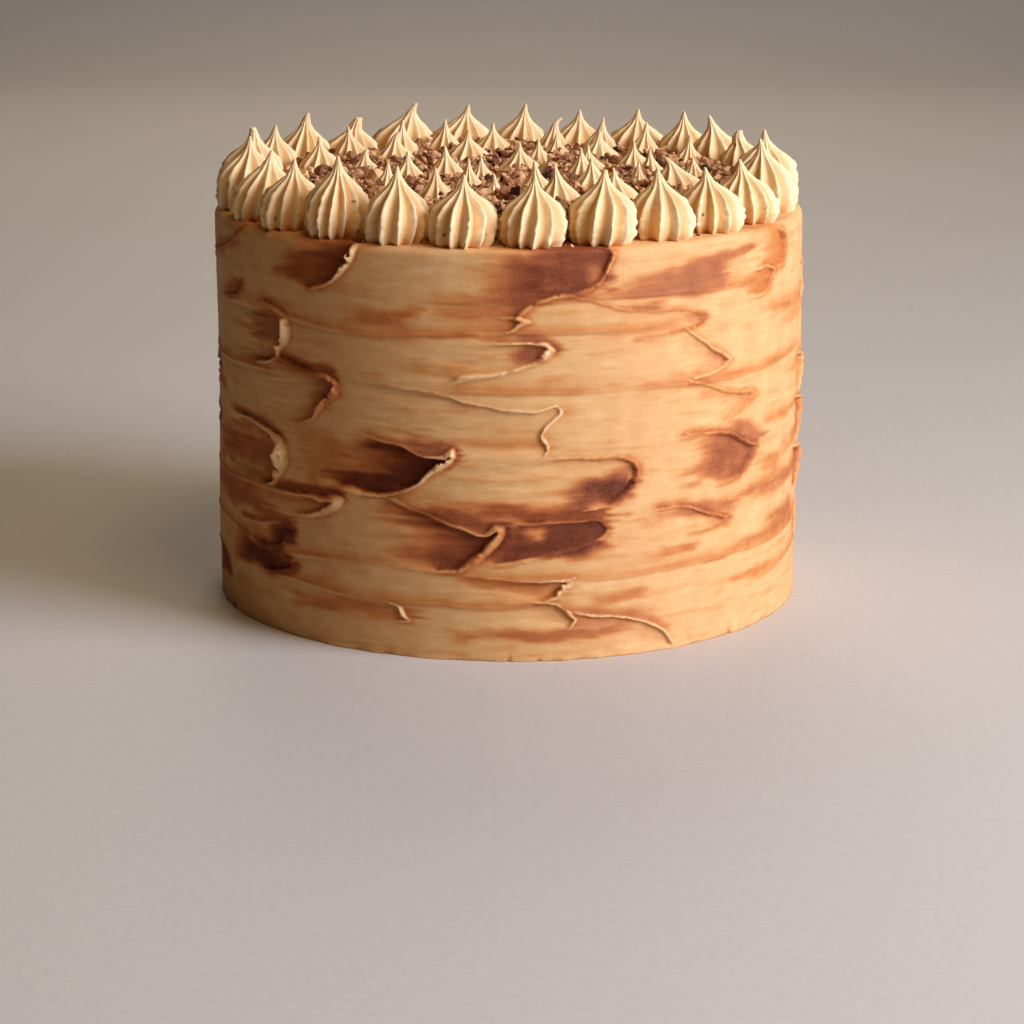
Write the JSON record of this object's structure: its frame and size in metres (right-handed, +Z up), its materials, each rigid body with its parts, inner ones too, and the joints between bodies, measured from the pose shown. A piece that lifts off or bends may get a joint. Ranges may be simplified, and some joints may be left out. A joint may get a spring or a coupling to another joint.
{
  "type": "layer cake",
  "caption": "Tall round layer cake under palette-knife icing strokes, with piped kisses along the rim and smaller ones over a top of chopped crumbs.",
  "frame": {"origin": "centre of the flat base, on the surface that the cake stands on", "axes": "+Z up; the side that the picture shows faces -Y, with +X to the right of a viewer in front"},
  "size_m": [0.2161, 0.2165, 0.1682],
  "materials": {
    "icing": "caramel coloured buttercream, satin, with brown streaks where the knife dragged",
    "piped_cream": "pale caramel buttercream, satin"
  },
  "bodies": {
    "root": {"cake": "icing", "rim_kiss_01": "piped_cream", "rim_kiss_02": "piped_cream", "rim_kiss_03": "piped_cream", "rim_kiss_04": "piped_cream", "rim_kiss_05": "piped_cream", "rim_kiss_06": "piped_cream", "rim_kiss_07": "piped_cream", "rim_kiss_08": "piped_cream", "rim_kiss_09": "piped_cream", "rim_kiss_10": "piped_cream", "rim_kiss_11": "piped_cream", "rim_kiss_12": "piped_cream", "rim_kiss_13": "piped_cream", "rim_kiss_14": "piped_cream", "rim_kiss_15": "piped_cream", "rim_kiss_16": "piped_cream", "rim_kiss_17": "piped_cream", "rim_kiss_18": "piped_cream", "rim_kiss_19": "piped_cream", "rim_kiss_20": "piped_cream", "rim_kiss_21": "piped_cream", "rim_kiss_22": "piped_cream", "rim_kiss_23": "piped_cream", "rim_kiss_24": "piped_cream", "rim_kiss_25": "piped_cream", "inner_kiss_01": "piped_cream", "inner_kiss_02": "piped_cream", "inner_kiss_03": "piped_cream", "inner_kiss_04": "piped_cream", "inner_kiss_05": "piped_cream", "inner_kiss_06": "piped_cream", "inner_kiss_07": "piped_cream", "inner_kiss_08": "piped_cream", "inner_kiss_09": "piped_cream", "inner_kiss_10": "piped_cream", "inner_kiss_11": "piped_cream", "inner_kiss_12": "piped_cream", "inner_kiss_13": "piped_cream", "inner_kiss_14": "piped_cream", "inner_kiss_15": "piped_cream", "inner_kiss_16": "piped_cream", "inner_kiss_17": "piped_cream", "inner_kiss_18": "piped_cream", "inner_kiss_19": "piped_cream", "inner_kiss_20": "piped_cream", "inner_kiss_21": "piped_cream", "inner_kiss_22": "piped_cream", "inner_kiss_23": "piped_cream", "inner_kiss_24": "piped_cream", "inner_kiss_25": "piped_cream", "inner_kiss_26": "piped_cream", "inner_kiss_27": "piped_cream", "inner_kiss_28": "piped_cream", "inner_kiss_29": "piped_cream", "inner_kiss_30": "piped_cream", "inner_kiss_31": "piped_cream", "inner_kiss_32": "piped_cream", "inner_kiss_33": "piped_cream", "inner_kiss_34": "piped_cream"}
  },
  "joints": []
}
